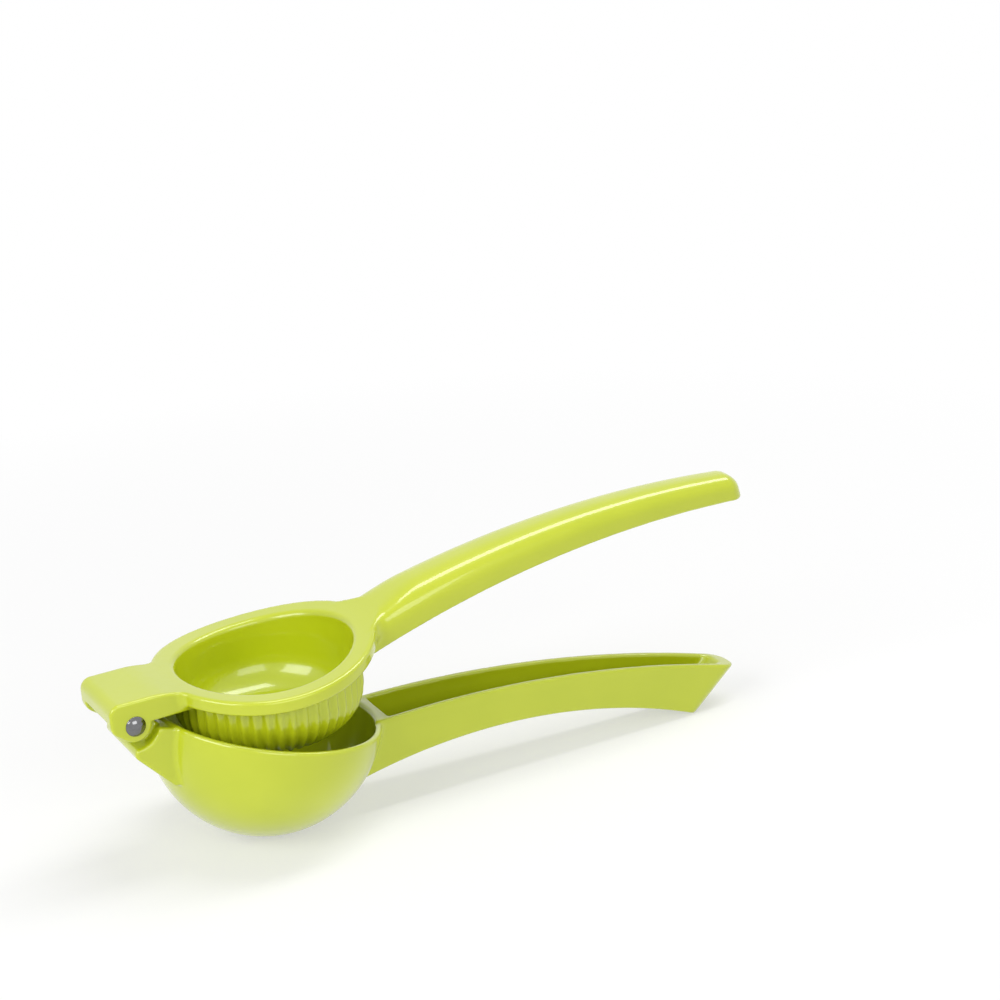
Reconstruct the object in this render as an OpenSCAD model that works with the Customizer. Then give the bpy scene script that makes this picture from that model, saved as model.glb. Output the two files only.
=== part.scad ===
// Hinged lemon squeezer: a perforated bowl on a channel handle, and a fluted
// press cup on a hollow domed handle, joined by one steel rivet.
// The castings are drawn closed, with the origin at the centre of the bowl's rim,
// +X towards the handles and +Z up the bowl's axis. seated() then lays the bowl
// casting on its round bottom and its tail, and opened() lifts the press casting.

/* [Bowl] */
// Outer radius of the bowl
bowl_r = 37; // [35:0.5:42]
// Wall of the bowl
bowl_wall = 2.2; // [1.8:0.1:3]
// Height of the straight collar between the half sphere and the rim
bowl_collar = 2; // [1.5:0.5:4]
// Diameter of each juice hole
juice_hole_d = 3.4; // [2.5:0.1:4]
// Radius of the ring of juice holes
juice_ring_r = 6.2; // [5.5:0.1:8]
// Number of juice holes in the ring
juice_hole_count = 6; // [4:1:7]

/* [Press cup] */
// Gap between the crests of the flutes and the bowl's inner wall
cup_gap = 4.8; // [1.4:0.1:6]
// Thickness of the cup between its inner face and the valleys of the flutes
cup_wall = 2; // [1.6:0.1:3]
// Depth of the cup's outer face below the bowl's rim, at the middle
cup_depth = 20.8; // [18:0.2:24]
// Radius of the rounding between the cup's side and its dished bottom
cup_knuckle_r = 14; // [10:0.5:16]
// Number of flutes round the cup
flute_count = 48; // [24:1:56]
// Height of a flute from valley to crest
flute_h = 1; // [0.6:0.1:1.4]

/* [Ring] */
// Width of the flat ring round the mouth of the cup
ring_w = 8.1; // [6:0.1:9]
// Height of the ring's edge
ring_h = 4.6; // [4:0.2:6]
// Height of the ring's underside above the bowl's rim, at its lowest point
ring_clearance = 1; // [0.3:0.1:1.2]
// Radius that the ring is bent to, seen from the side
ring_bend_r = 155; // [140:1:260]
// Distance of the ring's lowest point from the cup's axis, towards the hinge
ring_low_x = 9.2; // [4:0.2:12]

/* [Hinge] */
// Distance of the rivet from the bowl's axis
pin_x = 48; // [47:0.5:52]
// Height of the rivet above the bowl's rim
pin_z = 0.5; // [0:0.1:1]
// Diameter of the rivet's shank
pin_d = 4.8; // [4:0.1:5.5]
// Diameter of the rivet's heads
head_d = 6.4; // [6:0.1:8]
// Height of the rivet's heads
head_h = 1.5; // [1:0.1:2]
// Width of the hinge across its ears
hinge_w = 27; // [24:0.5:32]
// Thickness of each ear
ear_t = 4; // [3:0.1:5]
// Radius of the ears round the rivet
ear_r = 5.3; // [4.5:0.1:5.8]
// Height of the hood's flat top above the bowl's rim
hood_z = 8.5; // [8:0.1:10]
// Distance of the hood's front face from the rivet
hood_reach = 7.6; // [7.4:0.1:9]
// Radius of the hood's upper front corner, seen from the side
hood_corner_r = 3.5; // [2.5:0.1:4]
// Thickness of the hood's shell
hood_wall = 2; // [1.6:0.1:2.2]
// Height of the lower edge of the hood's front above the rivet
hood_edge_z = 1.5; // [0:0.1:2.5]
// Gap between the hood's front face and the pocket that it turns in
pocket_gap = 0.4; // [0.3:0.1:1]
// Radius of the nose under the pocket
nose_r = 2.4; // [1.6:0.1:3]
// Gap between the knuckle and each ear
hinge_side_gap = 0.25; // [0.15:0.05:0.5]
// Radial clearance of the rivet in the knuckle
pin_clearance = 0.05; // [0.02:0.01:0.1]

/* [Handles] */
// Distance of the handles' slanted tail from the bowl's axis, at the rim's height
tail_x = 156.6; // [130:0.5:190]
// Angle of the slanted tail from the rim's plane
tail_slant = 55; // [45:1:80]
// Radius of the bowl handle's foot, where its tail touches the table
foot_r = 4; // [2:0.5:5]
// Width of the handles where they leave the bowl
neck_w = 22.4; // [19:0.2:26]
// Width of the handles at the tail
tail_w = 13.4; // [11:0.2:18]
// Radius of the handles' corners at the tail, seen from above
tail_corner_r = 5; // [2:0.5:5.5]
// Radius of the bowl handle's upper edge, seen from the side
low_top_r = 400; // [300:5:600]
// Radius of the bowl handle's lower edge, seen from the side
low_bottom_r = 200; // [190:5:300]
// Height of the bowl handle's upper edge at its crest
low_top_z = 17.1; // [14:0.1:18]
// Height of the bowl handle's lower edge at its crest
low_bottom_z = 2.4; // [0:0.1:4]
// Wall of the bowl handle
low_wall = 2.4; // [1.8:0.1:3.5]
// Thickness of the bowl handle's end wall, along the handle
low_end_wall = 6; // [3:0.5:8]
// Gap between the two handles at their crests, closed
handle_gap = 1.2; // [1:0.1:4]
// Radius of the press handle's lower edge, seen from the side
up_bottom_r = 370; // [300:5:400]
// Radius of the press handle's crown, seen from the side
up_top_r = 372; // [330:1:450]
// Height of the press handle between the crests of its crown and its lower edge
up_h = 9.5; // [7:0.1:12]
// Height of the straight sides below the press handle's dome
up_side_h = 2.5; // [1:0.1:4]
// Fullness of the dome, where 2 is an ellipse and more is squarer
dome_power = 2.6; // [2:0.1:4]
// Wall of the press handle
up_wall = 2.2; // [1.6:0.1:3]
// Radius of the rounding on top of the press handle's tip
tip_r = 9; // [4:0.5:10]
// Angle of the ramp between the ring's top and the press handle's crown
ramp_angle = 31; // [25:1:40]

/* [Pose] */
// Angle that the squeezer is opened to, from closed
open_angle = 15.4; // [0:0.1:60]

/* [Hidden] */
$fn = 96;
// Cutters run this far past the faces that they cut
past = 1;
tall = 80;
// Radial clearance of the rivet in the ears, which turn with it
ear_clearance = 0.01;
green = [0.70, 0.80, 0.16];
steel = [0.78, 0.78, 0.80];

bowl_in_r = bowl_r - bowl_wall;
flute_r = bowl_in_r - cup_gap;
cup_in_r = flute_r - flute_h - cup_wall;
ring_r = cup_in_r + ring_w;
pin_r = pin_d / 2;
hood_front_x = -pin_x - hood_reach;
pocket_r = hood_reach + pocket_gap;
// The knuckle is rounded this much smaller than the ears, and the hinge arm's top lies below the rim
knuckle_inset = 0.3;
knuckle_r = ear_r - knuckle_inset;
lug_top_z = -0.3;
knuckle_w = hinge_w - 2 * ear_t - 2 * hinge_side_gap;
// Crests of the handles' curved edges: how far each lies before the tail, and where that is
low_top_back = 6.6;
low_bottom_back = 34.2;
up_bottom_back = 13.6;
up_top_back = 26.3;
low_top_x = tail_x - low_top_back;
low_bottom_x = tail_x - low_bottom_back;
up_bottom_x = tail_x - up_bottom_back;
up_top_x = tail_x - up_top_back;
up_bottom_z = low_top_z + handle_gap;
up_top_z = up_bottom_z + up_h;
// Stations along a handle, points round a dome, steps round the foot and angles round the tip
stations = 22;
dome_points = 20;
foot_steps = 12;
tip_angles = [15, 33, 50, 65, 75];
// The bowl handle starts this far inside the bowl's inner face, and its channel this far outside the bowl
low_inset = 4;
channel_start = 1.8;
// The press handle starts this far inside the cup's inner face, and its hollow this far past the ramp
up_inset = 6;
hollow_start = 12.6;
// The press handle's tip ends this far before the slanted tail, at its crown
tip_back = 2;

// Height of an arc of radius r at x, whose highest point is at crest_x, crest_z
function arc_z(x, r, crest_x, crest_z) = crest_z - r + sqrt(r * r - pow(x - crest_x, 2));
function low_top(x) = arc_z(x, low_top_r, low_top_x, low_top_z);
function low_bottom(x) = arc_z(x, low_bottom_r, low_bottom_x, low_bottom_z);
function up_bottom(x) = arc_z(x, up_bottom_r, up_bottom_x, up_bottom_z);
function up_crown(x) = arc_z(x, up_top_r, up_top_x, up_top_z);
// Distance of the slanted tail from the bowl's axis, at height z
function tail_at(z) = tail_x + z / tan(tail_slant);
// Half the width of a handle at x
function half_w(x) = let (t = (x - bowl_r) / (tail_x - bowl_r)) (neck_w + (tail_w - neck_w) * t) / 2;
function steps(from, to, n) = [for (i = [0:n]) from + (to - from) * i / n];

// Where the bowl handle's foot sits: its circle touches the tail and the lower edge
tail_dir = [cos(tail_slant), sin(tail_slant)];
tail_out = [sin(tail_slant), -cos(tail_slant)];
low_centre = [low_bottom_x, low_bottom_z - low_bottom_r];
foot_from = [tail_x, 0] - foot_r * tail_out;
foot_b = tail_dir * (foot_from - low_centre);
foot_c = pow(norm(foot_from - low_centre), 2) - pow(low_bottom_r + foot_r, 2);
foot = foot_from + (sqrt(foot_b * foot_b - foot_c) - foot_b) * tail_dir;
// Pitch that lays the round bowl and the foot on one table
bowl_centre = [0, -bowl_collar];
rest_pitch = atan2(foot[1] - bowl_centre[1], foot[0])
    + asin((bowl_r - foot_r) / norm(foot - bowl_centre));

// The press handle's tip
tip_x = tail_at(up_top_z) - tip_back;

// The cup's outer form ends this far above the rim, inside the ring
cup_top_z = 8;
// The cup's side and its dish are joined tangent by the knuckle, which stands this far above the dish
knuckle_rise = 1.8;
knuckle_x = flute_r - cup_knuckle_r;
cup_drop = cup_knuckle_r + knuckle_rise;
cup_side_z = cup_drop - cup_depth;
dish_r = (pow(knuckle_x, 2) + pow(cup_drop, 2) - pow(cup_knuckle_r, 2)) / (2 * knuckle_rise);
dish_z = dish_r - cup_depth;
dish_angle = atan2(dish_z - cup_side_z, knuckle_x);
// The ring's top and underside are arcs round one centre
ring_top_z = ring_clearance + ring_h;
ring_centre = [-ring_low_x, ring_top_z + ring_bend_r];
function ring_top(x) = ring_centre[1] - sqrt(pow(ring_bend_r, 2) - pow(x - ring_centre[0], 2));
// The ramp leaves the ring's top this far outside the ring's edge
ramp_outset = 1.6;
ramp_x = ring_r + ramp_outset;

// Turns a drawing of the side view, (x, z), into a plate of width w about y = 0
module side_plate(w) {
    rotate([90, 0, 0])
        linear_extrude(height = w, center = true)
            children();
}

// A bar along Y through the rivet's axis
module pin_bar(r, w) {
    translate([-pin_x, 0, pin_z])
        rotate([90, 0, 0])
            cylinder(r = r, h = w, center = true);
}

// Everything past the slanted tail, moved in by inset along the handle
module past_tail(inset = 0) {
    side_plate(tall)
        polygon([[tail_at(-tall) - inset, -tall], [tail_at(tall) - inset, tall], [tail_x + 2 * tall, -tall]]);
}

// Plan of a handle between x0 and x1, moved in by inset, with its end corners rounded
module handle_plan(x0, x1, inset, corner_r) {
    w = half_w(x1) - inset - corner_r;
    linear_extrude(height = 2 * tall, center = true)
        union() {
            polygon([
                [x0, half_w(x0) - inset], [x1 - corner_r, half_w(x1) - inset],
                [x1 - corner_r, inset - half_w(x1)], [x0, inset - half_w(x0)]]);
            translate([x1 - corner_r - past, -w]) square([corner_r + past, 2 * w]);
            for (side = [-1, 1]) translate([x1 - corner_r, side * w]) circle(r = corner_r);
        }
}

// Solid through rings of 3-D points, each ring in the same order
module loft(rings) {
    n = len(rings[0]);
    last = len(rings) - 1;
    points = [for (ring = rings) each ring];
    walls = [for (i = [0:last - 1], j = [0:n - 1]) let (a = i * n + j, b = i * n + (j + 1) % n)
        each [[a, b + n, b], [a, a + n, b + n]]];
    ends = [[for (j = [0:n - 1]) j], [for (j = [n - 1:-1:0]) last * n + j]];
    polyhedron(points = points, faces = concat(walls, ends));
}

// Half sphere with a collar, open at the rim
module bowl_form(r, top) {
    rotate_extrude()
        union() {
            intersection() {
                translate(bowl_centre) circle(r = r);
                translate([0, -tall]) square([tall, tall - bowl_collar]);
            }
            translate(bowl_centre) square([r, bowl_collar + top]);
        }
}

// Bowl's wall, ending in a round bead at the rim
module bowl_shell() {
    bead_r = bowl_wall / 2;
    difference() {
        bowl_form(bowl_r, -bead_r);
        bowl_form(bowl_in_r, past);
    }
    rotate_extrude()
        translate([bowl_r - bead_r, -bead_r]) circle(r = bead_r);
}

// Hinge arm of the bowl in side view: flat on top, with a rounded nose below the pocket
module hinge_lug() {
    overlap = 0.4;
    nose_angle = -67;
    nose = [-pin_x, pin_z] + (pocket_r + nose_r - overlap) * [cos(nose_angle), sin(nose_angle)];
    root = [-30.8, -17.2];
    under = (root - nose) / norm(root - nose);
    below = nose_r * [under[1], -under[0]];
    inner_x = 0.8 * root[0];
    difference() {
        side_plate(hinge_w)
            union() {
                translate(nose) circle(r = nose_r);
                polygon([
                    [nose[0], lug_top_z], nose, nose + below, root + below,
                    [inner_x, root[1]], [inner_x, lug_top_z]]);
            }
        pin_bar(pocket_r, hinge_w + past);
    }
}

// Knuckle round the rivet, between the ears, with its root in the hinge arm
module knuckle() {
    root_x = -pin_x + pocket_r + past;
    root_bottom_z = -7;
    top_x = -pin_x + 1.5;
    bottom_x = -pin_x + 2;
    inset = 0.4;
    difference() {
        union() {
            pin_bar(knuckle_r, knuckle_w);
            side_plate(knuckle_w)
                polygon([
                    [top_x, pin_z + knuckle_r - inset], [root_x, lug_top_z],
                    [root_x, root_bottom_z], [bottom_x, pin_z - knuckle_r + inset]]);
        }
        pin_bar(pin_r + pin_clearance, knuckle_w + past);
    }
}

// Side view of the bowl handle between its start and its slanted tail, with its foot rounded
module low_side(from, to) {
    foot_start = atan2(low_centre[1] - foot[1], low_centre[0] - foot[0]);
    polygon(concat(
        [for (x = steps(from, foot[0] + foot_r * cos(foot_start), stations)) [x, low_bottom(x)]],
        [for (t = steps(foot_start, tail_slant - 90, foot_steps)) foot + foot_r * [cos(t), sin(t)]],
        [for (x = steps(to, from, stations)) [x, low_top(x)]]));
}

// Channel handle of the bowl, open on top
module low_handle() {
    from = bowl_in_r - low_inset;
    to = tail_at(low_top(tail_at(low_top_z)));
    start = bowl_r + channel_start;
    difference() {
        intersection() {
            side_plate(tall) low_side(from, to);
            handle_plan(from, to, 0, tail_corner_r);
        }
        difference() {
            intersection() {
                side_plate(tall)
                    polygon(concat(
                        [for (x = steps(start, to, stations)) [x, low_bottom(x) + low_wall]],
                        [[to, tall], [start, tall]]));
                handle_plan(start, to, low_wall, tail_corner_r - low_wall);
            }
            past_tail(low_end_wall);
        }
    }
}

module juice_holes() {
    for (i = [0:juice_hole_count]) {
        r = i == 0 ? 0 : juice_ring_r;
        rotate([0, 0, 360 / juice_hole_count * i])
            translate([r, 0, -tall]) cylinder(d = juice_hole_d, h = tall, $fn = 32);
    }
}

// Section of the cup's outer form, moved in by inset
module cup_section(inset) {
    far = 2 * dish_r;
    union() {
        intersection() {
            translate([knuckle_x, cup_side_z]) circle(r = cup_knuckle_r - inset);
            translate([0, -tall]) square([tall, 2 * tall]);
        }
        translate([0, cup_side_z]) square([flute_r - inset, tall]);
        intersection() {
            translate([0, dish_z]) circle(r = dish_r - inset, $fn = 192);
            polygon([
                [0, dish_z], [0, dish_z - far],
                [far * cos(dish_angle), dish_z - far * sin(dish_angle)]]);
        }
    }
}

// Point of the cup's outer form at an angle below the horizontal, moved in by inset
function cup_point(t, inset) = t < dish_angle + 0.01
    ? [knuckle_x + (cup_knuckle_r - inset) * cos(t), cup_side_z - (cup_knuckle_r - inset) * sin(t)]
    : [(dish_r - inset) * cos(t), dish_z - (dish_r - inset) * sin(t)];

// Outside of the cup, with rounded flutes that fade out on the dish
module fluted_form() {
    per_flute = 4;
    turns = flute_count * per_flute;
    on_dish = 90 - dish_angle;
    full_share = 0.25;
    fade_share = 0.65;
    angles = concat(steps(0, dish_angle, 4), [dish_angle + full_share * on_dish]);
    fade_angle = dish_angle + fade_share * on_dish;
    function inset(i) = flute_h * (1 - cos(360 * i / per_flute)) / 2;
    function around(i, p) = [p[0] * cos(360 * i / turns), p[0] * sin(360 * i / turns), p[1]];
    rings = concat(
        [[for (i = [0:turns - 1]) around(i, cup_point(fade_angle, flute_h))]],
        [for (k = [len(angles) - 1:-1:0]) [for (i = [0:turns - 1]) around(i, cup_point(angles[k], inset(i)))]],
        [[for (i = [0:turns - 1]) around(i, [flute_r - inset(i), cup_top_z])]]);
    loft(rings);
}

// Ring round the mouth, bent in side view
module mouth_ring() {
    intersection() {
        translate([0, 0, -past]) cylinder(r = ring_r, h = tall);
        side_plate(tall * 2)
            translate(ring_centre)
                difference() {
                    circle(r = ring_bend_r + ring_h, $fn = 360);
                    circle(r = ring_bend_r, $fn = 360);
                }
    }
}

// What lies above the ring's top and above the ramp to the handle
module above_ring() {
    side_plate(tall)
        intersection() {
            translate(ring_centre) circle(r = ring_bend_r, $fn = 360);
            translate([ramp_x, ring_top(ramp_x)])
                rotate(ramp_angle)
                    translate([-tall * 2, 0]) square([tall * 4, tall * 2]);
        }
}

// Ears round the rivet and the arms that join them to the ring, in side view
module ear_side() {
    lip_r = 4;
    lip_rise = 1.2;
    arm_rise = 0.3;
    pin = [-pin_x, pin_z];
    corner = [hood_front_x + hood_corner_r, hood_z - hood_corner_r];
    lip = [hood_front_x + lip_r, pin_z + lip_rise];
    arm_z = pin_z + arm_rise;
    inner_x = -cup_in_r;
    belt = lip - pin;
    belt_turn = atan2(belt[1], belt[0]) + acos((ear_r - lip_r) / norm(belt));
    belt_out = [cos(belt_turn), sin(belt_turn)];
    union() {
        translate(pin) circle(r = ear_r);
        translate(lip) circle(r = lip_r);
        translate(corner) circle(r = hood_corner_r);
        polygon([
            pin, pin + ear_r * belt_out, lip + lip_r * belt_out, lip, [hood_front_x, lip[1]],
            [hood_front_x, corner[1]], corner, [corner[0], hood_z],
            [inner_x, hood_z], [inner_x, arm_z]]);
    }
}

// Room for the knuckle under the hood
module hood_room() {
    corner_r = hood_corner_r - hood_wall;
    front_x = hood_front_x + hood_wall;
    top_z = hood_z - hood_wall;
    edge_z = pin_z + hood_edge_z;
    back_x = -pin_x + pocket_r + past;
    side_plate(hinge_w - 2 * ear_t)
        union() {
            translate([front_x + corner_r, top_z - corner_r]) circle(r = corner_r);
            polygon([
                [front_x, top_z - corner_r], [front_x + corner_r, top_z - corner_r],
                [front_x + corner_r, top_z], [back_x, top_z], [back_x, -tall],
                [front_x - tall, -tall], [front_x - tall, edge_z], [front_x, edge_z]]);
        }
}

// Ring of points round the press handle's dome at x, moved in by inset
function dome_ring(x, inset, drop = 0) =
    let (w = half_w(x) - inset, low = up_bottom(x) - drop, side = up_bottom(x) + up_side_h,
         rise = up_crown(x) - tip_fall(x) - inset - side, e = 2 / dome_power)
    concat([[x, w, low]],
        [for (t = steps(0, 180, dome_points))
            [x, w * sign(cos(t)) * pow(abs(cos(t)), e), side + rise * pow(sin(t), e)]],
        [[x, -w, low]]);
// Fall of the crown over the rounded tip
function tip_fall(x) = let (u = x - (tip_x - tip_r)) u <= 0 ? 0
    : tip_r - sqrt(max(0, tip_r * tip_r - u * u));

module up_handle() {
    from = cup_in_r - up_inset;
    round_x = tip_x - tip_r;
    difference() {
        intersection() {
            loft([for (x = concat(steps(from, round_x, stations), [for (t = tip_angles) round_x + tip_r * sin(t)]))
                dome_ring(x, 0)]);
            handle_plan(from - past, tip_x, 0, tail_corner_r);
        }
        past_tail();
    }
}

module up_hollow() {
    start = ramp_x + hollow_start;
    end = tail_at(up_bottom_z) - past;
    difference() {
        loft([for (x = steps(start, end, stations)) dome_ring(x, up_wall, 2 * past)]);
        past_tail(low_end_wall / 2);
    }
}

module press_form() {
    difference() {
        union() {
            mouth_ring();
            fluted_form();
            up_handle();
            side_plate(hinge_w) ear_side();
        }
        above_ring();
        rotate_extrude() cup_section(flute_h + cup_wall);
        up_hollow();
        hood_room();
        pin_bar(pin_r + ear_clearance, hinge_w + past);
    }
}

// Rivet with a domed head on each side of the ears
module rivet() {
    cap_r = (pow(head_d / 2, 2) + pow(head_h, 2)) / (2 * head_h);
    pin_bar(pin_r, hinge_w);
    for (side = [0, 180])
        translate([-pin_x, 0, pin_z])
            rotate([90, 0, side])
                translate([0, 0, hinge_w / 2])
                    intersection() {
                        translate([0, 0, head_h - cap_r]) sphere(r = cap_r);
                        cylinder(d = head_d, h = head_h + past);
                    }
}

// Lays the bowl casting on the table, with the bowl's lowest point at the origin
module seated() {
    translate([0, 0, bowl_r])
        rotate([0, rest_pitch, 0])
            translate([0, 0, bowl_collar])
                children();
}

// Turns the press casting up about the rivet
module opened() {
    translate([-pin_x, 0, pin_z])
        rotate([0, -open_angle, 0])
            translate([pin_x, 0, -pin_z])
                children();
}

module bowl_casting() {
    color(green)
        seated()
            union() {
                difference() {
                    union() {
                        bowl_shell();
                        difference() {
                            union() {
                                hinge_lug();
                                low_handle();
                            }
                            bowl_form(bowl_in_r, tall);
                        }
                    }
                    juice_holes();
                }
                knuckle();
            }
}

module press_casting() {
    color(green) seated() opened() press_form();
}

module hinge_rivet() {
    color(steel) seated() opened() rivet();
}

bowl_casting();
press_casting();
hinge_rivet();
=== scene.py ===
"""Looks of a hinged lemon squeezer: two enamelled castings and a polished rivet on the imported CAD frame.

Each casting is drawn as a distance field from its CAD node's sizes, with the cast fillets and rounded
edges that the solid leaves out, and meshed on a grid. Lengths are in millimetres until a mesh is
placed, in the closed frame: origin at the centre of the bowl's rim, +X to the handles.
"""

import math

import bpy
import numpy as np
from mathutils import Matrix, Vector


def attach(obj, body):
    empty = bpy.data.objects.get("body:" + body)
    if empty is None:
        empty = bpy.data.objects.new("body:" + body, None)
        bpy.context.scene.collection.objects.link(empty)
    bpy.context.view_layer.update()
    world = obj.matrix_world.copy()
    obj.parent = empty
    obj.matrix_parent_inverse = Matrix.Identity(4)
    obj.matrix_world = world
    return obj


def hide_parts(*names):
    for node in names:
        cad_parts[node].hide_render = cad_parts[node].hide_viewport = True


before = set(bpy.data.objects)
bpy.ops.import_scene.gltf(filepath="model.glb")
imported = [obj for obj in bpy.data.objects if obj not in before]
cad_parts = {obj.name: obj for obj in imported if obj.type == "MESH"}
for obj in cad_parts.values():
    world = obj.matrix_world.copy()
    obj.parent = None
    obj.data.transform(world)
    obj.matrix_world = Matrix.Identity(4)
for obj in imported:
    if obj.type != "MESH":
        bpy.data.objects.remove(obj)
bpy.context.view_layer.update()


def direction(angle):
    return np.array([math.cos(angle), math.sin(angle)])


# ---------------------------------------------------------------- sizes of the bowl casting
BOWL_R = 37.0
BOWL_WALL = 2.2
BOWL_IN_R = BOWL_R - BOWL_WALL
COLLAR = 2.0  # height of the straight band under the rim
HOLE_R = 1.7
HOLE_RING_R = 6.2
HOLE_COUNT = 6  # round the one in the middle

# the lug that carries the knuckle, and the pocket in it that the hood turns in
POCKET_GAP = 0.4
NOSE_R = 2.4
NOSE_ANGLE = math.radians(-67)
NOSE_LAP = 0.4  # how far the lug's nose reaches into the pocket
LUG_TOP_Z = -0.3
LUG_ROOT = np.array([-30.8, -17.2])
LUG_START = 0.8  # share of the root's X at which the lug starts, inside the bowl

# the web that joins the knuckle to the lug, from a top and a low corner on the knuckle
WEB_SINK = 0.4  # how far in Z these two are from the knuckle's highest and lowest line
WEB_TOP_X = 1.5  # from the rivet
WEB_LOW_X = 2.0  # from the rivet
WEB_LOW_Z = -7.0

# handles, both with the same plan; an arc is a radius, the X of its crest and the Z of its crest
TAIL_X = 156.6
SLANT = math.radians(55)
FOOT_R = 4.0
NECK_W = 22.4
TAIL_W = 13.4
TAIL_CORNER_R = 5.0
LOW_TOP = (400.0, TAIL_X - 6.6, 17.1)
LOW_BOTTOM = (200.0, TAIL_X - 34.2, 2.4)
LOW_WALL = 2.4
LOW_END_WALL = 6.0
LOW_LAP = 4.0  # how far behind the bowl's inner side the channel handle starts
CHANNEL_START = 1.8  # past the bowl's outer side

# ---------------------------------------------------------------- sizes of the press casting
CUP_GAP = 4.8
CUP_WALL = 2.0
CUP_DEPTH = 20.8
CUP_KNUCKLE_R = 14.0
KNUCKLE_RISE = 1.8
CUP_DRAFT = 0.9  # how far the cup's hollow has opened out at DRAFT_Z
DRAFT_Z = 9.0
FLUTE_COUNT = 48
FLUTE_H = 1.0
FADE_SHARE = 0.65  # of the dish, over which the flutes fade out

RING_W = 8.1
RING_H = 4.6
RING_CLEAR = 1.0
RING_BEND_R = 155.0
RING_LOW_X = 9.2

UP_BOTTOM = (370.0, TAIL_X - 13.6, 18.3)
UP_TOP = (372.0, TAIL_X - 26.3, 27.8)
UP_SIDE_H = 2.5
UP_WALL = 2.2
UP_LAP = 6.0  # how far behind the cup's inner side the domed handle starts
DOME_POWER = 2.6  # of the superellipse in the dome's section
TIP_X = 171.2  # the handle's end, blunt as in the photo where the CAD node's is slanted
TIP_LEAN = 0.2
TIP_WALL = 3.0
RAMP_OUTSET = 1.6
RAMP_ANGLE = math.radians(31)
HOLLOW_START = 12.6  # past the foot of the ramp

# ---------------------------------------------------------------- sizes of the hinge
PIN = np.array([-48.0, 0.5])
PIN_R = 2.4
HEAD_R = 3.2
HEAD_H = 1.5
HINGE_W = 27.0
EAR_T = 4.0
EAR_R = 5.3
EAR_RISE = 0.3
KNUCKLE_STEP = 0.3  # how much smaller the knuckle's radius is than the ears'
HOOD_Z = 8.5
HOOD_REACH = 7.6
HOOD_WALL = 2.0
HOOD_CORNER_R = 3.5
HOOD_EDGE_Z = 1.5
LIP_R = 4.0
LIP_RISE = 1.2
BACK_LAP = 1.0
ROOM_REACH = 20.0  # of the room for the knuckle, past the hood and under its edge
ROOM_BOTTOM_Z = -40.0
SIDE_GAP = 0.25
PIN_CLEAR = 0.05
EAR_CLEAR = 0.01
OPEN_ANGLE = math.radians(15.4)

# ---------------------------------------------------------------- rounded edges and fillets
HOLE_EDGE_R = 0.5
POCKET_EDGE_R = 0.6
LUG_EDGE_R = 1.0
LUG_FILLET_R = 1.0
KNUCKLE_EDGE_R = 0.5
KNUCKLE_FILLET_R = 0.8
PIN_EDGE_R = 0.3
LOW_EDGE_R = 1.0
LOW_TOP_EDGE_R = 0.9
TAIL_EDGE_R = 0.4
CHANNEL_START_R = 1.2
CHANNEL_FLOOR_R = 1.6
LOW_FILLET_R = 2.2
RING_LOW_EDGE_R = 1.0
RING_EDGE_R = 1.2
EAR_EDGE_R = 0.8
EAR_FILLET_R = 2.0
NECK_FILLET_R = 4.0
TIP_R = 4.5
UP_EDGE_R = 0.7
CUP_FILLET_R = 1.2
MOUTH_EDGE_R = 1.5
HOLLOW_START_R = 3.0
HOLLOW_END_R = 2.0
HOLLOW_EDGE_R = 0.8
ROOM_EDGE_R = 0.6
EAR_BLEND = 0.6  # widths of the bands in which surfaces at a small angle run into each other
CROWN_BLEND = 2.5

# ---------------------------------------------------------------- places worked out from the sizes
KNUCKLE_R = EAR_R - KNUCKLE_STEP
POCKET_R = HOOD_REACH + POCKET_GAP
HOOD_FRONT = PIN[0] - HOOD_REACH
HINGE_BACK = PIN[0] + POCKET_R + BACK_LAP  # where the knuckle's web and the room for it end
FLUTE_R = BOWL_IN_R - CUP_GAP
CUP_IN_R = FLUTE_R - FLUTE_H - CUP_WALL
RING_R = CUP_IN_R + RING_W
RING_CENTRE = (-RING_LOW_X, RING_CLEAR + RING_H + RING_BEND_R)
RAMP_X = RING_R + RAMP_OUTSET
RAMP_Z = RING_CENTRE[1] - math.sqrt(RING_BEND_R**2 - (RAMP_X - RING_CENTRE[0]) ** 2)

# the cup's knuckle meets its straight side at CUP_SIDE_Z and its dish at DISH_ANGLE
KNUCKLE_X = FLUTE_R - CUP_KNUCKLE_R
CUP_DROP = CUP_KNUCKLE_R + KNUCKLE_RISE
CUP_SIDE_Z = CUP_DROP - CUP_DEPTH
DISH_R = (KNUCKLE_X**2 + CUP_DROP**2 - CUP_KNUCKLE_R**2) / (2 * KNUCKLE_RISE)
DISH_Z = DISH_R - CUP_DEPTH
DISH_ANGLE = math.atan2(DISH_Z - CUP_SIDE_Z, KNUCKLE_X)

# the bowl handle's foot: its circle touches the tail and the lower edge
BOWL_CENTRE = np.array([0, -COLLAR])
TAIL_UP = direction(SLANT)
TAIL_OUT = np.array([math.sin(SLANT), -math.cos(SLANT)])
LOW_CENTRE = np.array([LOW_BOTTOM[1], LOW_BOTTOM[2] - LOW_BOTTOM[0]])
FOOT_FROM = np.array([TAIL_X, 0]) - FOOT_R * TAIL_OUT
FOOT_B = TAIL_UP @ (FOOT_FROM - LOW_CENTRE)
FOOT_C = (FOOT_FROM - LOW_CENTRE) @ (FOOT_FROM - LOW_CENTRE) - (LOW_BOTTOM[0] + FOOT_R) ** 2
FOOT = FOOT_FROM + (math.sqrt(FOOT_B**2 - FOOT_C) - FOOT_B) * TAIL_UP
FOOT_START = math.atan2(LOW_CENTRE[1] - FOOT[1], LOW_CENTRE[0] - FOOT[0])
FOOT_END = SLANT - math.pi / 2

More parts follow.
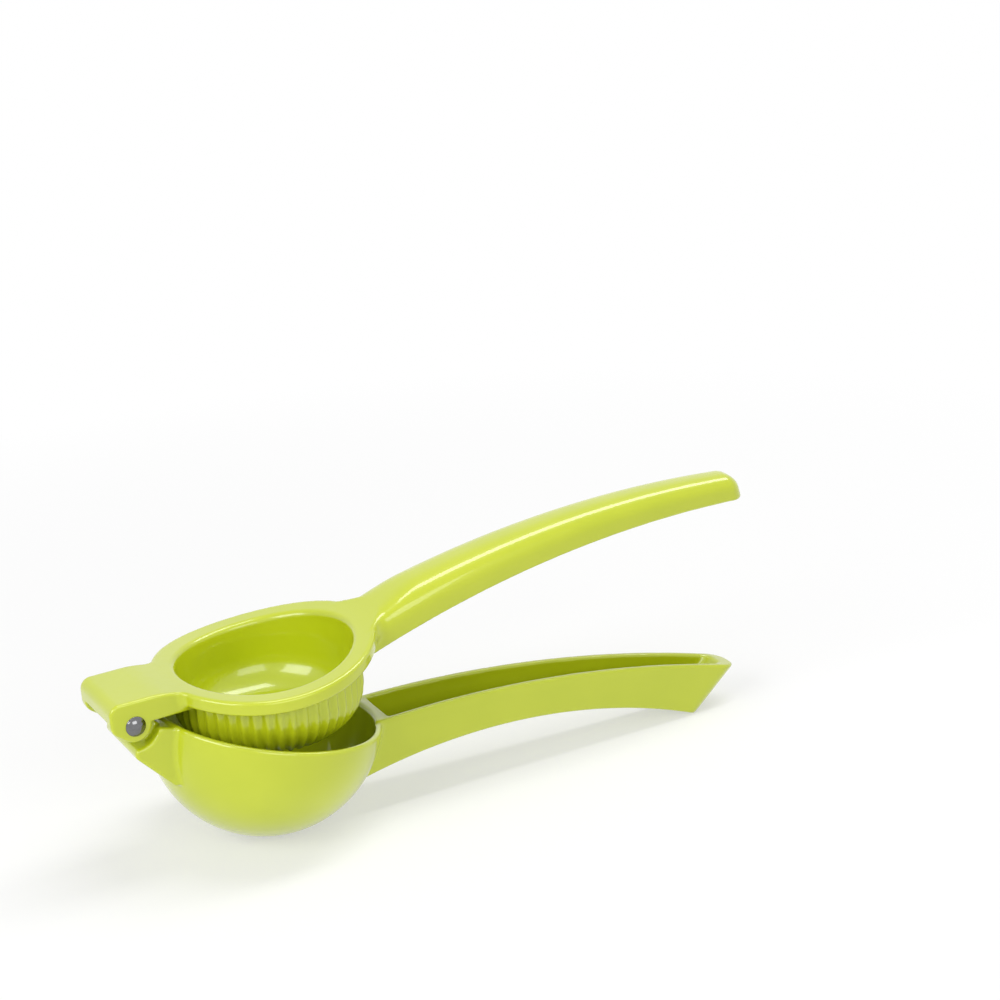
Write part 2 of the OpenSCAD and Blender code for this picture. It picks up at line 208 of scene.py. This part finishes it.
# at rest the bowl and the foot stand on the table
FOOT_TURN = math.atan2(FOOT[1] - BOWL_CENTRE[1], FOOT[0])
REST_PITCH = FOOT_TURN + math.asin((BOWL_R - FOOT_R) / np.linalg.norm(FOOT - BOWL_CENTRE))


# ---------------------------------------------------------------- distance fields
def both(a, b, r=0.0):
    """Intersection of two fields, its edge rounded to radius r."""
    if r == 0:
        return np.maximum(a, b)
    return np.minimum(-r, np.maximum(a, b)) + np.hypot(np.maximum(r + a, 0), np.maximum(r + b, 0))


def soft(a, b, width):
    """Intersection of two fields that meet at a small angle, blended over a band of that width."""
    return np.maximum(a, b) + np.maximum(width - np.abs(a - b), 0) ** 2 / (4 * width)


def join(a, b, r=0.0):
    """Union of two fields with a fillet of radius r."""
    return -both(-a, -b, r)


def cut(a, b, r=0.0):
    """Field a without field b, its edge rounded to radius r."""
    return both(a, -b, r)


def smooth_step(x, start, end):
    t = np.clip((x - start) / (end - start), 0, 1)
    return t * t * (3 - 2 * t)


def disc(x, z, centre, r):
    return np.hypot(x - centre[0], z - centre[1]) - r


def over_arc(x, z, arc):
    """Distance above an arc, negative below it."""
    r, crest_x, crest_z = arc
    return np.hypot(x - crest_x, z - (crest_z - r)) - r


def arc_z(x, arc):
    r, crest_x, crest_z = arc
    return crest_z - r + np.sqrt(r**2 - (x - crest_x) ** 2)


def polygon(x, z, points):
    """Exact distance to a closed polygon, negative inside."""
    square = np.full(x.shape, 1e12)
    sign = np.ones(x.shape)
    for (ax, az), (bx, bz) in zip(points, points[-1:] + points[:-1]):
        ex, ez = bx - ax, bz - az
        wx, wz = x - ax, z - az
        t = np.clip((wx * ex + wz * ez) / (ex * ex + ez * ez), 0, 1)
        square = np.minimum(square, (wx - ex * t) ** 2 + (wz - ez * t) ** 2)
        up, down, left = z >= az, z < bz, ex * wz > ez * wx
        flip = (up & down & left) | (~up & ~down & ~left)
        sign = np.where(flip, -sign, sign)
    return sign * np.sqrt(square)


def half_w(x):
    """Half the width of either handle."""
    t = (x - BOWL_R) / (TAIL_X - BOWL_R)
    return (NECK_W + (TAIL_W - NECK_W) * t) / 2


def handle_side(x, y):
    """Distance outside the handles' tapered plan."""
    slope = (NECK_W - TAIL_W) / 2 / (TAIL_X - BOWL_R)
    return (np.abs(y) - half_w(x)) / math.hypot(1, slope)


def pin_bore(x, z, clear):
    return disc(x, z, PIN, PIN_R + clear)


# ---------------------------------------------------------------- bowl casting
def bowl_radius(x, y, z, r):
    """Distance outside a half sphere of radius r with a straight collar."""
    rho = np.hypot(x, y)
    return np.where(z < -COLLAR, np.hypot(rho, z + COLLAR), rho) - r


def bowl_wall(x, y, z):
    """The half sphere's wall, with its collar and a rounded rim."""
    rho = np.hypot(x, y)
    mid_r = BOWL_R - BOWL_WALL / 2
    rim_z = -BOWL_WALL / 2
    sphere = np.abs(np.hypot(rho, z + COLLAR) - mid_r)
    collar = np.hypot(rho - mid_r, np.maximum(z - rim_z, 0))
    return np.where(z < -COLLAR, sphere, collar) - BOWL_WALL / 2


def juice_holes(x, y):
    holes = disc(x, y, (0, 0), HOLE_R)
    for i in range(HOLE_COUNT):
        holes = np.minimum(holes, disc(x, y, HOLE_RING_R * direction(2 * math.pi * i / HOLE_COUNT), HOLE_R))
    return holes


def lug(x, y, z):
    """Triangular lug on the bowl's side, with the pocket for the hood."""
    nose = PIN + (POCKET_R + NOSE_R - NOSE_LAP) * direction(NOSE_ANGLE)
    under = (LUG_ROOT - nose) / np.linalg.norm(LUG_ROOT - nose)
    off = NOSE_R * np.array([under[1], -under[0]])
    inner_x = LUG_START * LUG_ROOT[0]
    side = polygon(x, z, [
        (nose[0], LUG_TOP_Z),
        nose,
        nose + off,
        LUG_ROOT + off,
        (inner_x, LUG_ROOT[1]),
        (inner_x, LUG_TOP_Z),
    ])
    side = np.minimum(side, disc(x, z, nose, NOSE_R))
    side = cut(side, disc(x, z, PIN, POCKET_R), POCKET_EDGE_R)
    return both(side, np.abs(y) - HINGE_W / 2, LUG_EDGE_R)


def knuckle(x, y, z):
    """Barrel round the rivet, with the web that joins it to the lug."""
    web = polygon(x, z, [
        (PIN[0] + WEB_TOP_X, PIN[1] + KNUCKLE_R - WEB_SINK),
        (HINGE_BACK, LUG_TOP_Z),
        (HINGE_BACK, WEB_LOW_Z),
        (PIN[0] + WEB_LOW_X, PIN[1] - KNUCKLE_R + WEB_SINK),
    ])
    barrel = join(disc(x, z, PIN, KNUCKLE_R), web, KNUCKLE_EDGE_R)
    return both(barrel, np.abs(y) - (HINGE_W / 2 - EAR_T - SIDE_GAP), KNUCKLE_EDGE_R)


def channel_handle(x, y, z):
    """Handle with an open channel on top and a slanted tail that ends in the foot."""
    side = handle_side(x, y)
    bottom = -over_arc(x, z, LOW_BOTTOM)
    tail = (x - TAIL_X) * math.sin(SLANT) - z * math.cos(SLANT)
    turn = np.arctan2(z - FOOT[1], x - FOOT[0])
    on_foot = (turn > FOOT_START) & (turn < FOOT_END)
    profile = np.where(on_foot, disc(x, z, FOOT, FOOT_R), np.maximum(bottom, tail))
    body = both(side, profile, LOW_EDGE_R)
    body = both(body, both(side, tail, TAIL_CORNER_R), TAIL_EDGE_R)
    body = both(body, over_arc(x, z, LOW_TOP), LOW_TOP_EDGE_R)

    inner_tail = tail + LOW_END_WALL * math.sin(SLANT)
    channel = both(side + LOW_WALL, inner_tail, TAIL_CORNER_R - LOW_WALL)
    channel = both(channel, BOWL_R + CHANNEL_START - x, CHANNEL_START_R)
    channel = both(channel, bottom + LOW_WALL, CHANNEL_FLOOR_R)
    return np.maximum(cut(body, channel, LOW_TOP_EDGE_R), BOWL_IN_R - LOW_LAP - x)


def bowl_casting(x, y, z):
    outside = -bowl_radius(x, y, z, BOWL_R - BOWL_WALL / 2)
    arm = join(lug(x, y, z), knuckle(x, y, z), KNUCKLE_FILLET_R)
    body = join(bowl_wall(x, y, z), both(arm, outside), LUG_FILLET_R)
    body = join(body, both(channel_handle(x, y, z), outside), LOW_FILLET_R)
    body = cut(body, bowl_radius(x, y, z, BOWL_IN_R))
    body = cut(body, juice_holes(x, y), HOLE_EDGE_R)
    return cut(body, pin_bore(x, z, PIN_CLEAR), PIN_EDGE_R)


# ---------------------------------------------------------------- press casting
def cup_outside(x, y, z):
    """Distance outside the cup over its flutes' crests: a straight side, a knuckle and a dish."""
    rho = np.hypot(x, y)
    angle = np.arctan2(CUP_SIDE_Z - z, rho - KNUCKLE_X)
    corner = disc(rho, z, (KNUCKLE_X, CUP_SIDE_Z), CUP_KNUCKLE_R)
    dish = disc(rho, z, (0, DISH_Z), DISH_R)
    return np.where(z > CUP_SIDE_Z, rho - FLUTE_R, np.where(angle < DISH_ANGLE, corner, dish))


def flute_depth(x, y, z):
    """Depth under the crests: waves round the side that run out at the grooves' depth on the dish."""
    angle = np.arctan2(DISH_Z - z, np.hypot(x, y))
    fade = 1 - smooth_step(angle, DISH_ANGLE, DISH_ANGLE + FADE_SHARE * (math.pi / 2 - DISH_ANGLE))
    fade = np.where(z > CUP_SIDE_Z, 1.0, fade)
    return FLUTE_H * (1 - fade * (1 + np.cos(FLUTE_COUNT * np.arctan2(y, x))) / 2)


def ring(x, y, over_ring):
    flange = both(np.hypot(x, y) - RING_R, -over_ring - RING_H, RING_LOW_EDGE_R)
    return both(flange, over_ring, RING_EDGE_R)


def ears_and_hood(x, y, z, over_ring):
    """Side view of the ears and the hood between them, over the hinge's full width."""
    lip = np.array([HOOD_FRONT + LIP_R, PIN[1] + LIP_RISE])
    corner = np.array([HOOD_FRONT + HOOD_CORNER_R, HOOD_Z - HOOD_CORNER_R])
    belt = lip - PIN
    turn = math.atan2(belt[1], belt[0]) + math.acos((EAR_R - LIP_R) / np.linalg.norm(belt))
    out = direction(turn)
    side = polygon(x, z, [
        PIN,
        PIN + EAR_R * out,
        lip + LIP_R * out,
        lip,
        (HOOD_FRONT, lip[1]),
        (HOOD_FRONT, corner[1]),
        corner,
        (corner[0], HOOD_Z),
        (-CUP_IN_R, HOOD_Z),
        (-CUP_IN_R, PIN[1] + EAR_RISE),
    ])
    for centre, r in ((PIN, EAR_R), (lip, LIP_R), (corner, HOOD_CORNER_R)):
        side = np.minimum(side, disc(x, z, centre, r))
    return both(soft(side, over_ring, EAR_BLEND), np.abs(y) - HINGE_W / 2, EAR_EDGE_R)


def hinge_room(x, y, z):
    """Room for the knuckle between the ears, under the hood and open at the bottom."""
    corner_r = HOOD_CORNER_R - HOOD_WALL
    front = HOOD_FRONT + HOOD_WALL
    top = HOOD_Z - HOOD_WALL
    corner = (front + corner_r, top - corner_r)
    edge_z = PIN[1] + HOOD_EDGE_Z
    side = polygon(x, z, [
        (front, corner[1]),
        corner,
        (corner[0], top),
        (HINGE_BACK, top),
        (HINGE_BACK, ROOM_BOTTOM_Z),
        (front - ROOM_REACH, ROOM_BOTTOM_Z),
        (front - ROOM_REACH, edge_z),
        (front, edge_z),
    ])
    side = np.minimum(side, disc(x, z, corner, corner_r))
    return both(side, np.abs(y) - (HINGE_W / 2 - EAR_T))


def dome(x, y, z):
    """Distance outside the domed handle's section: a superellipse on two straight sides."""
    low = arc_z(x, UP_BOTTOM)
    width = half_w(x)
    rise = arc_z(x, UP_TOP) - low - UP_SIDE_H
    u = np.abs(y) / width
    v = np.maximum(z - low - UP_SIDE_H, 0) / rise
    size = np.maximum((u**DOME_POWER + v**DOME_POWER) ** (1 / DOME_POWER), 1e-3)
    slope = np.hypot((u / size) ** (DOME_POWER - 1) / width, (v / size) ** (DOME_POWER - 1) / rise)
    return (size - 1) / np.maximum(slope, 1e-3)


def domed_handle(x, z, section, tip):
    handle = both(section, tip, TIP_R)
    return np.maximum(both(handle, -over_arc(x, z, UP_BOTTOM), UP_EDGE_R), CUP_IN_R - UP_LAP - x)


def handle_hollow(x, section, tip):
    hollow = both(section + UP_WALL, RAMP_X + HOLLOW_START - x, HOLLOW_START_R)
    return both(hollow, tip + TIP_WALL, HOLLOW_END_R)


def press_casting(x, y, z):
    cup = cup_outside(x, y, z)
    over_ring = -disc(x, z, RING_CENTRE, RING_BEND_R)
    section = dome(x, y, z)
    tip = x - TIP_X + TIP_LEAN * np.maximum(z - UP_BOTTOM[2], 0)

    # all of it is trimmed by the ring's bent top and by the ramp up to the handle's crown
    over_ramp = (z - RAMP_Z) * math.cos(RAMP_ANGLE) - (x - RAMP_X) * math.sin(RAMP_ANGLE)
    above = soft(-over_ring, -over_ramp, CROWN_BLEND)
    handle = soft(domed_handle(x, z, section, tip), -above, CROWN_BLEND)
    body = join(ring(x, y, over_ring), ears_and_hood(x, y, z, over_ring), EAR_FILLET_R)
    body = join(body, handle, NECK_FILLET_R)
    body = join(body, cup + flute_depth(x, y, z), CUP_FILLET_R)
    body = np.maximum(body, -above)

    body = cut(body, handle_hollow(x, section, tip), HOLLOW_EDGE_R)
    draft = CUP_DRAFT * smooth_step(z, 0, DRAFT_Z)
    body = cut(body, cup + FLUTE_H + CUP_WALL - draft, MOUTH_EDGE_R)
    body = cut(body, hinge_room(x, y, z), ROOM_EDGE_R)
    return cut(body, pin_bore(x, z, EAR_CLEAR), PIN_EDGE_R)


# ---------------------------------------------------------------- meshing
GRID_STEP = 0.6
SLAB = 12  # grid planes sampled at a time
PROBE = 0.05  # step of the gradient
LOWEST_SLOPE = 0.5  # that a gradient counts with, so that no point jumps where a field is flat
SMOOTHINGS = 2
BOWL_GRID = (-54, -39, -41), (171, 39, 19)
PRESS_GRID = (-58, -39, -22), (178, 39, 30)


def sample(field, axes):
    values = np.empty([len(a) for a in axes], np.float32)
    for i in range(0, len(axes[0]), SLAB):
        values[i : i + SLAB] = field(*np.meshgrid(axes[0][i : i + SLAB], axes[1], axes[2], indexing="ij"))
    return values


def crossed_cells(values):
    """Cells that the surface crosses, each with the mean of its edges' crossings in grid units."""
    corners = [(i, j, k) for i in (0, 1) for j in (0, 1) for k in (0, 1)]
    inside = values < 0
    count = sum(
        inside[tuple(slice(c, n - 1 + c) for c, n in zip(corner, values.shape))].astype(np.uint8)
        for corner in corners
    )
    cells = np.argwhere((count > 0) & (count < len(corners)))
    total, hits = np.zeros((len(cells), 3)), np.zeros(len(cells))
    at_corner = {corner: values[tuple((cells + corner).T)] for corner in corners}
    for corner in corners:
        for d in range(3):
            if corner[d]:
                continue
            end = tuple(1 if k == d else corner[k] for k in range(3))
            a, b = at_corner[corner], at_corner[end]
            cross = (a < 0) != (b < 0)
            t = np.where(cross, a / np.where(cross, a - b, 1), 0)
            point = np.array(corner, float) + np.outer(t, np.eye(3)[d])
            total += point * cross[:, None]
            hits += cross
    return cells, cells + total / hits[:, None]


def quads(values, cells):
    """One face round each grid edge that the surface crosses, through the four cells beside it."""
    inside = values < 0
    shape = values.shape
    number = np.full([n - 1 for n in shape], -1, np.int64)
    number[tuple(cells.T)] = np.arange(len(cells))
    faces = []
    for d in range(3):
        e, f = (d + 1) % 3, (d + 2) % 3
        low = [slice(1, n - 1) for n in shape]
        low[d] = slice(0, shape[d] - 1)
        high = list(low)
        high[d] = slice(1, shape[d])
        starts_inside = inside[tuple(low)]
        at = np.argwhere(starts_inside != inside[tuple(high)])
        flip = ~starts_inside[tuple(at.T)]
        at = at + [0 if k == d else 1 for k in range(3)]
        quad = []
        for de, df in ((-1, -1), (0, -1), (0, 0), (-1, 0)):
            beside = at.copy()
            beside[:, e] += de
            beside[:, f] += df
            quad.append(number[tuple(beside.T)])
        quad = np.stack(quad, axis=1)
        quad[flip] = quad[flip][:, ::-1]
        faces.append(quad)
    return np.concatenate(faces)


def settle(field, points):
    """Pulls points onto the field's zero by one Newton step, at most half a grid step long."""
    distance = field(*points.T)
    slopes = [field(*(points + o).T) - field(*(points - o).T) for o in np.eye(3) * PROBE]
    grad = np.stack([s / (2 * PROBE) for s in slopes], axis=1)
    move = -grad * (distance / np.maximum((grad**2).sum(1), LOWEST_SLOPE**2))[:, None]
    length = np.linalg.norm(move, axis=1, keepdims=True)
    return points + move * np.minimum(1, 0.5 * GRID_STEP / np.maximum(length, 1e-9))


def neighbour_mean(points, faces):
    pairs = np.concatenate([faces[:, [i, (i + 1) % 4]] for i in range(4)])
    degree = np.bincount(pairs.ravel(), minlength=len(points)).astype(float)
    mean = np.zeros_like(points)
    for k in range(3):
        first = np.bincount(pairs[:, 0], points[pairs[:, 1], k], len(points))
        second = np.bincount(pairs[:, 1], points[pairs[:, 0], k], len(points))
        mean[:, k] = first + second
    return mean / degree[:, None]


def surface(field, low, high):
    """Surface nets of a field: evened out along the surface, so that the shading is smooth, and settled."""
    axes = [np.arange(a, b + GRID_STEP, GRID_STEP) for a, b in zip(low, high)]
    values = sample(field, axes)
    cells, points = crossed_cells(values)
    faces = quads(values, cells)
    points = points * GRID_STEP + np.array([a[0] for a in axes])
    for _ in range(SMOOTHINGS):
        points = settle(field, points + 0.5 * (neighbour_mean(points, faces) - points))
    return settle(field, points), faces.tolist()


# ---------------------------------------------------------------- placing
AT_PIN = Matrix.Translation((PIN[0], 0, PIN[1]))
SEATED = (
    Matrix.Translation((0, 0, BOWL_R))
    @ Matrix.Rotation(REST_PITCH, 4, "Y")
    @ Matrix.Translation((0, 0, COLLAR))
)
OPENED = AT_PIN @ Matrix.Rotation(-OPEN_ANGLE, 4, "Y") @ AT_PIN.inverted()


def mesh_object(name, verts, faces, place, material):
    """Smooth-shaded object from points in millimetres, placed and turned into metres."""
    m = np.array(place)
    verts = (verts @ m[:3, :3].T + m[:3, 3]) / 1000
    mesh = bpy.data.meshes.new(name)
    mesh.from_pydata(verts.tolist(), [], faces)
    mesh.update()
    mesh.polygons.foreach_set("use_smooth", [True] * len(mesh.polygons))
    mesh.materials.append(material)
    obj = bpy.data.objects.new(name, mesh)
    bpy.context.scene.collection.objects.link(obj)
    return obj


# ---------------------------------------------------------------- materials
ENAMEL_COLOURS = ((0.500, 0.575, 0.008), (0.530, 0.600, 0.012))
# painted highlight: the paler colour that convex edges are mixed towards, in place of their reflection
ENAMEL_EDGE_HIGHLIGHT = (0.66, 0.75, 0.07)
STEEL_COLOURS = ((0.14, 0.14, 0.145), (0.24, 0.24, 0.245))
FLOOR_COLOUR = (0.92, 0.92, 0.92)


def new_material(name):
    """A material with its node tree and its principled shader."""
    material = bpy.data.materials.new(name)
    material.use_nodes = True
    return material, material.node_tree, material.node_tree.nodes["Principled BSDF"]


def coordinates(tree):
    return tree.nodes.new("ShaderNodeTexCoord").outputs["Object"]


def noise(tree, coords, scale, detail):
    node = tree.nodes.new("ShaderNodeTexNoise")
    node.inputs["Scale"].default_value = scale
    node.inputs["Detail"].default_value = detail
    tree.links.new(coords, node.inputs["Vector"])
    return node.outputs["Fac"]


def remap(tree, value, span, result):
    """Maps a value's span onto the result's, both (low, high), and holds it there outside the span."""
    node = tree.nodes.new("ShaderNodeMapRange")
    for prefix, (low, high) in (("From", span), ("To", result)):
        node.inputs[prefix + " Min"].default_value = low
        node.inputs[prefix + " Max"].default_value = high
    tree.links.new(value, node.inputs["Value"])
    return node.outputs["Result"]


def mix(tree, factor, a, b):
    """Mixes two colours, each a tuple or another node's output."""
    node = tree.nodes.new("ShaderNodeMix")
    node.data_type = "RGBA"
    tree.links.new(factor, node.inputs["Factor"])
    for socket, colour in ((node.inputs["A"], a), (node.inputs["B"], b)):
        if isinstance(colour, tuple):
            socket.default_value = (*colour, 1)
        else:
            tree.links.new(colour, socket)
    return node.outputs["Result"]


def enamel():
    """Glossy sprayed enamel on an aluminium casting, with a painted highlight: paler colour on convex
    edges, and slight orange peel.
    """
    material, tree, shader = new_material("lime_enamel")
    coords = coordinates(tree)
    drift = noise(tree, coords, scale=38, detail=3)
    speck = noise(tree, coords, scale=420, detail=2)
    peel = noise(tree, coords, scale=260, detail=1)
    edge = tree.nodes.new("ShaderNodeNewGeometry").outputs["Pointiness"]
    colour = mix(tree, remap(tree, drift, (0.35, 0.65), (0, 1)), *ENAMEL_COLOURS)
    # painted highlight: convex edges, found by pointiness, are mixed towards a paler colour
    colour = mix(tree, remap(tree, edge, (0.53, 0.62), (0, 0.35)), colour, ENAMEL_EDGE_HIGHLIGHT)
    tree.links.new(colour, shader.inputs["Base Color"])
    tree.links.new(remap(tree, speck, (0.3, 0.7), (0.28, 0.34)), shader.inputs["Roughness"])
    shader.inputs["Specular IOR Level"].default_value = 0.4
    shader.inputs["Coat Weight"].default_value = 0.85
    shader.inputs["Coat Roughness"].default_value = 0.06
    bump = tree.nodes.new("ShaderNodeBump")
    bump.inputs["Strength"].default_value = 0.02
    bump.inputs["Distance"].default_value = 0.0003
    tree.links.new(peel, bump.inputs["Height"])
    tree.links.new(bump.outputs["Normal"], shader.inputs["Normal"])
    return material


def polished_steel():
    material, tree, shader = new_material("polished_steel")
    smear = noise(tree, coordinates(tree), scale=900, detail=3)
    tree.links.new(mix(tree, smear, *STEEL_COLOURS), shader.inputs["Base Color"])
    tree.links.new(remap(tree, smear, (0.3, 0.7), (0.08, 0.16)), shader.inputs["Roughness"])
    shader.inputs["Metallic"].default_value = 1.0
    return material


def combine(tree, operation, a, b):
    node = tree.nodes.new("ShaderNodeMath")
    node.operation = operation
    tree.links.new(a, node.inputs[0])
    tree.links.new(b, node.inputs[1])
    return node.outputs[0]


def background_rays(tree):
    """1 for the rays that see the background: from the camera, a mirror or through glass."""
    path = tree.nodes.new("ShaderNodeLightPath").outputs
    rays = combine(tree, "MAXIMUM", path["Is Camera Ray"], path["Is Glossy Ray"])
    return combine(tree, "MAXIMUM", rays, path["Is Transmission Ray"])


def mix_in_white(tree, factor, lit, white_type):
    """Plain white of strength 1 instead of the lit shader, by the factor."""
    white = tree.nodes.new(white_type)
    white.inputs["Color"].default_value = (1, 1, 1, 1)
    white.inputs["Strength"].default_value = 1.0
    pick = tree.nodes.new("ShaderNodeMixShader")
    tree.links.new(factor, pick.inputs[0])
    tree.links.new(lit, pick.inputs[1])
    tree.links.new(white.outputs[0], pick.inputs[2])
    return pick.outputs[0]


def floor_white():
    """Pale floor that turns plain white away from the object, so that it has no horizon."""
    material, tree, shader = new_material("floor_white")
    shader.inputs["Base Color"].default_value = (*FLOOR_COLOUR, 1)
    shader.inputs["Roughness"].default_value = 0.7
    reach = tree.nodes.new("ShaderNodeVectorMath")
    reach.operation = "LENGTH"
    tree.links.new(coordinates(tree), reach.inputs[0])
    far = remap(tree, reach.outputs["Value"], (0.12, 0.42), (0.5, 1))
    factor = combine(tree, "MULTIPLY", background_rays(tree), far)
    seen = mix_in_white(tree, factor, shader.outputs[0], "ShaderNodeEmission")
    tree.links.new(seen, tree.nodes["Material Output"].inputs["Surface"])
    return material


# ---------------------------------------------------------------- castings
ENAMEL = enamel()
STEEL = polished_steel()

verts, faces = surface(bowl_casting, *BOWL_GRID)
bowl = mesh_object("bowl_enamel", verts, faces, SEATED, ENAMEL)
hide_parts("bowl_casting")
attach(bowl, "bowl")

verts, faces = surface(press_casting, *PRESS_GRID)
press = mesh_object("press_enamel", verts, faces, SEATED @ OPENED, ENAMEL)
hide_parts("press_casting")
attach(press, "press")


# ---------------------------------------------------------------- rivet
RIVET_SEGMENTS = 64
CAP_R = (HEAD_R**2 + HEAD_H**2) / (2 * HEAD_H)  # of the head's domed face
CAP_POINTS = 12
RIM_ANGLE = 0.06  # of the dome, left for the head's rim
RIM_H = 0.12
RIM_CHAMFER = 0.1


def rivet_profile():
    """(radius, place along the rivet) pairs from one head's middle to the other's."""
    half = HINGE_W / 2
    cap_centre = half + HEAD_H - CAP_R
    angles = np.linspace(0, math.asin(HEAD_R / CAP_R) - RIM_ANGLE, CAP_POINTS)
    head = [(CAP_R * math.sin(a), cap_centre + CAP_R * math.cos(a)) for a in angles]
    head += [(HEAD_R, half + RIM_H), (HEAD_R - RIM_CHAMFER, half), (PIN_R, half)]
    return [(r, -h) for r, h in head] + head[::-1]


def lathe(name, profile, place, material):
    """Closed turned piece along Z, from a profile that starts and ends on the axis."""
    n = RIVET_SEGMENTS
    turns = [direction(2 * math.pi * i / n) for i in range(n)]
    rings = profile[1:-1]
    verts = [(0, 0, profile[0][1])]
    for r, h in rings:
        verts += [(r * c, r * s, h) for c, s in turns]
    verts.append((0, 0, profile[-1][1]))
    faces = []
    last = 1 + (len(rings) - 1) * n
    for i in range(n):
        j = (i + 1) % n
        faces.append((0, 1 + j, 1 + i))
        for a in range(1, last, n):
            faces.append((a + i, a + j, a + n + j, a + n + i))
        faces.append((last + i, last + j, last + n))
    return mesh_object(name, np.array(verts, float), faces, place, material)


along_y = AT_PIN @ Matrix.Rotation(math.pi / 2, 4, "X")
rivet = lathe("rivet_polished", rivet_profile(), SEATED @ OPENED @ along_y, STEEL)
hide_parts("hinge_rivet")
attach(rivet, "press")

# ---------------------------------------------------------------- stage and light, in metres
FLOOR_HALF = 4.0
FLOOR_X = 0.06
WORLD_STRENGTH = 0.3
LAMPS = {  # place, target, size, power in watts
    "key": ((-0.98, -0.38, 0.72), (0.02, 0, 0.04), (0.8, 0.6), 7.8),
    "fill": ((0.00, -1.1, 0.6), (0.05, 0, 0.04), (0.8, 0.5), 3.6),
    "overhead": ((0.40, 0.02, 1.00), (0.05, 0, 0.05), (0.30, 1.0), 6.3),
}

corners = [(x * FLOOR_HALF, y * FLOOR_HALF, 0) for x, y in ((-1, -1), (1, -1), (1, 1), (-1, 1))]
floor_mesh = bpy.data.meshes.new("floor")
floor_mesh.from_pydata(corners, [], [(0, 1, 2, 3)])
floor_mesh.materials.append(floor_white())
floor = bpy.data.objects.new("floor", floor_mesh)
floor.location = (FLOOR_X, 0, 0)
bpy.context.scene.collection.objects.link(floor)

for name, (place, target, size, power) in LAMPS.items():
    data = bpy.data.lights.new(name, "AREA")
    data.shape = "RECTANGLE"
    data.size, data.size_y = size
    data.energy = power
    lamp = bpy.data.objects.new(name, data)
    lamp.location = place
    lamp.rotation_euler = (Vector(target) - Vector(place)).to_track_quat("-Z", "Y").to_euler()
    bpy.context.scene.collection.objects.link(lamp)

world = bpy.data.worlds.new("studio")
bpy.context.scene.world = world
world.use_nodes = True
tree = world.node_tree
soft_light = tree.nodes["Background"]
soft_light.inputs["Color"].default_value = (1, 1, 1, 1)
soft_light.inputs["Strength"].default_value = WORLD_STRENGTH
seen = mix_in_white(tree, background_rays(tree), soft_light.outputs[0], "ShaderNodeBackground")
tree.links.new(seen, tree.nodes["World Output"].inputs["Surface"])

# ---------------------------------------------------------------- camera
# the photo's camera, fitted to both castings' outlines in the closed frame, in millimetres
CAMERA_RIGHT = Vector((0.87822, -0.45200, 0.15624))
CAMERA_UP = Vector((-0.02415, 0.28435, 0.95841))
CAMERA_BACK = Vector((-0.47763, -0.84548, 0.23880))
CAMERA_AT = Vector((-383.3, -803.9, 297.4))
LENS = 108
SENSOR = 36

pose = Matrix((CAMERA_RIGHT, CAMERA_UP, CAMERA_BACK)).transposed().to_4x4()
pose.translation = CAMERA_AT
pose = SEATED @ pose
pose.translation = pose.translation / 1000
camera_data = bpy.data.cameras.new("camera")
camera_data.lens = LENS
camera_data.sensor_width = SENSOR
camera = bpy.data.objects.new("camera", camera_data)
camera.matrix_world = pose
bpy.context.scene.collection.objects.link(camera)
bpy.context.scene.camera = camera
bpy.context.scene.view_settings.view_transform = "Standard"
